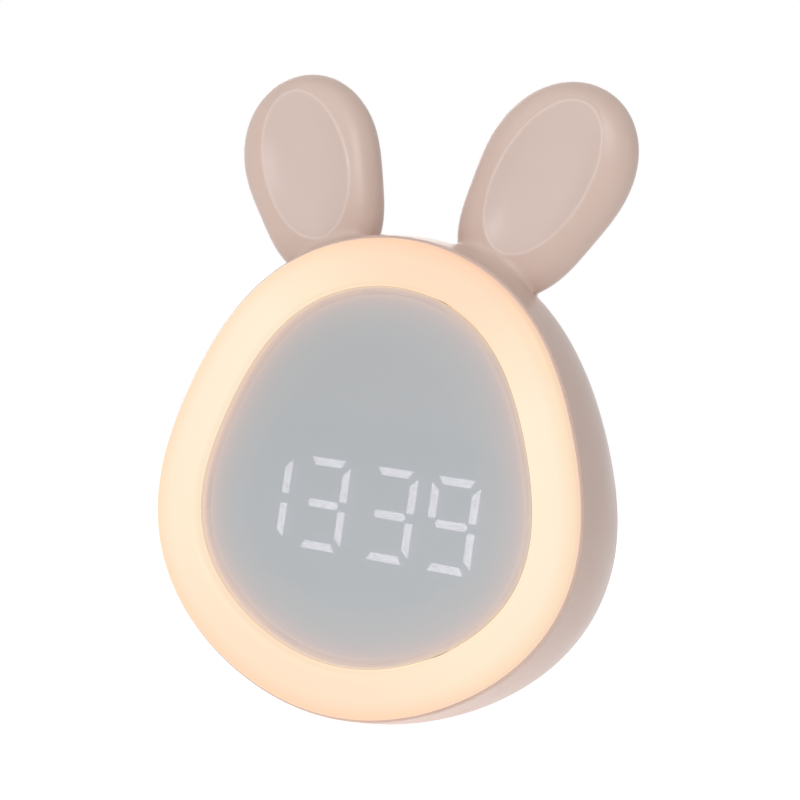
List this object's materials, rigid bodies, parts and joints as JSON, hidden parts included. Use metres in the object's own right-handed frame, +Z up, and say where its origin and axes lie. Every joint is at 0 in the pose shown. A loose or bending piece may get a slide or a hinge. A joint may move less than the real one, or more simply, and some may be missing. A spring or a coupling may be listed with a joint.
{
  "type": "alarm clock with night light",
  "caption": "Round-eared children's alarm clock: half-mirrored display with bar digits inside a glowing night light ring, keys and battery door behind.",
  "frame": {"origin": "on the surface that the clock stands on, under the middle of its rubber foot", "axes": "+X to the right as seen from the front, +Y to the back, away from the display, +Z up"},
  "size_m": [0.1218, 0.055, 0.17],
  "materials": {
    "casing_plastic": "satin moulded",
    "cover_plastic": "satin moulded, fine texture",
    "light_ring_plastic": "frosted, lit from behind",
    "mirror_plate": "polished, half mirrored",
    "lit_bars": "lit from behind",
    "unlit_bars": "satin",
    "white_plastic": "satin moulded",
    "key_plastic": "satin moulded",
    "black_plastic": "satin moulded",
    "rubber": "matt",
    "tape": "matt foam",
    "circuit_board": "solder mask",
    "white_board": "white solder mask",
    "led_package": "moulded",
    "steel": "zinc plated",
    "cell_jacket": "printed jacket, bare of text",
    "capacitor_can": "satin",
    "wire_cover": "soft extruded",
    "ribbon": "flat cable"
  },
  "bodies": {
    "root": {"case_shell": "casing_plastic", "ear_back_left": "cover_plastic", "ear_back_right": "cover_plastic", "ear_screws": "steel", "rear_cover": "cover_plastic", "cover_screws": "steel", "rubber_foot": "rubber", "light_ring": "light_ring_plastic", "display_lens": "mirror_plate", "lens_tape": "tape", "light_frame": "white_plastic", "frame_screws": "steel", "ring_board": "white_board", "ring_leds": "led_package", "digit_housing": "white_plastic", "lit_segments": "lit_bars", "unlit_segments": "unlit_bars", "digit_board": "circuit_board", "digit_screws": "steel", "driver_chip": "black_plastic", "main_board": "circuit_board", "main_board_screws": "steel", "processor_chip": "black_plastic", "clock_crystal": "steel", "capacitors": "capacitor_can", "key_switches": "black_plastic", "alarm_switch_body": "black_plastic", "usb_socket": "steel", "buzzer": "black_plastic", "battery_cell_1": "cell_jacket", "battery_cell_2": "cell_jacket", "battery_cell_3": "cell_jacket", "battery_springs": "steel", "battery_contacts": "steel", "digit_cable": "ribbon", "ring_leads": "wire_cover", "battery_leads": "wire_cover"},
    "mode_button": {"mode_button": "key_plastic"},
    "up_button": {"up_button": "key_plastic"},
    "down_button": {"down_button": "key_plastic"},
    "light_button": {"light_button": "key_plastic"},
    "alarm_switch_knob": {"alarm_switch_knob": "white_plastic"},
    "battery_door": {"battery_door": "cover_plastic", "door_screws": "steel"}
  },
  "joints": [
    {"name": "mode_button_press", "type": "slide", "parent": "root", "child": "mode_button", "axis": [0, -0.9806, -0.1961], "range_m": [0, 0.0005], "stiffness_N_per_m": 3000, "springref_m": -0.0001},
    {"name": "up_button_press", "type": "slide", "parent": "root", "child": "up_button", "axis": [0, -0.9806, -0.1961], "range_m": [0, 0.0005], "stiffness_N_per_m": 3000, "springref_m": -0.0001},
    {"name": "down_button_press", "type": "slide", "parent": "root", "child": "down_button", "axis": [0, -0.9806, -0.1961], "range_m": [0, 0.0005], "stiffness_N_per_m": 3000, "springref_m": -0.0001},
    {"name": "light_button_press", "type": "slide", "parent": "root", "child": "light_button", "axis": [0, -0.9806, -0.1961], "range_m": [0, 0.0005], "stiffness_N_per_m": 3000, "springref_m": -0.0001},
    {"name": "alarm_switch_slide", "type": "slide", "parent": "root", "child": "alarm_switch_knob", "axis": [0, -0.1961, 0.9806], "range_m": [0, 0.003]},
    {"name": "battery_door_pull", "type": "slide", "parent": "root", "child": "battery_door", "axis": [0, 0.9806, 0.1961], "range_m": [0, 0.025]}
  ]
}
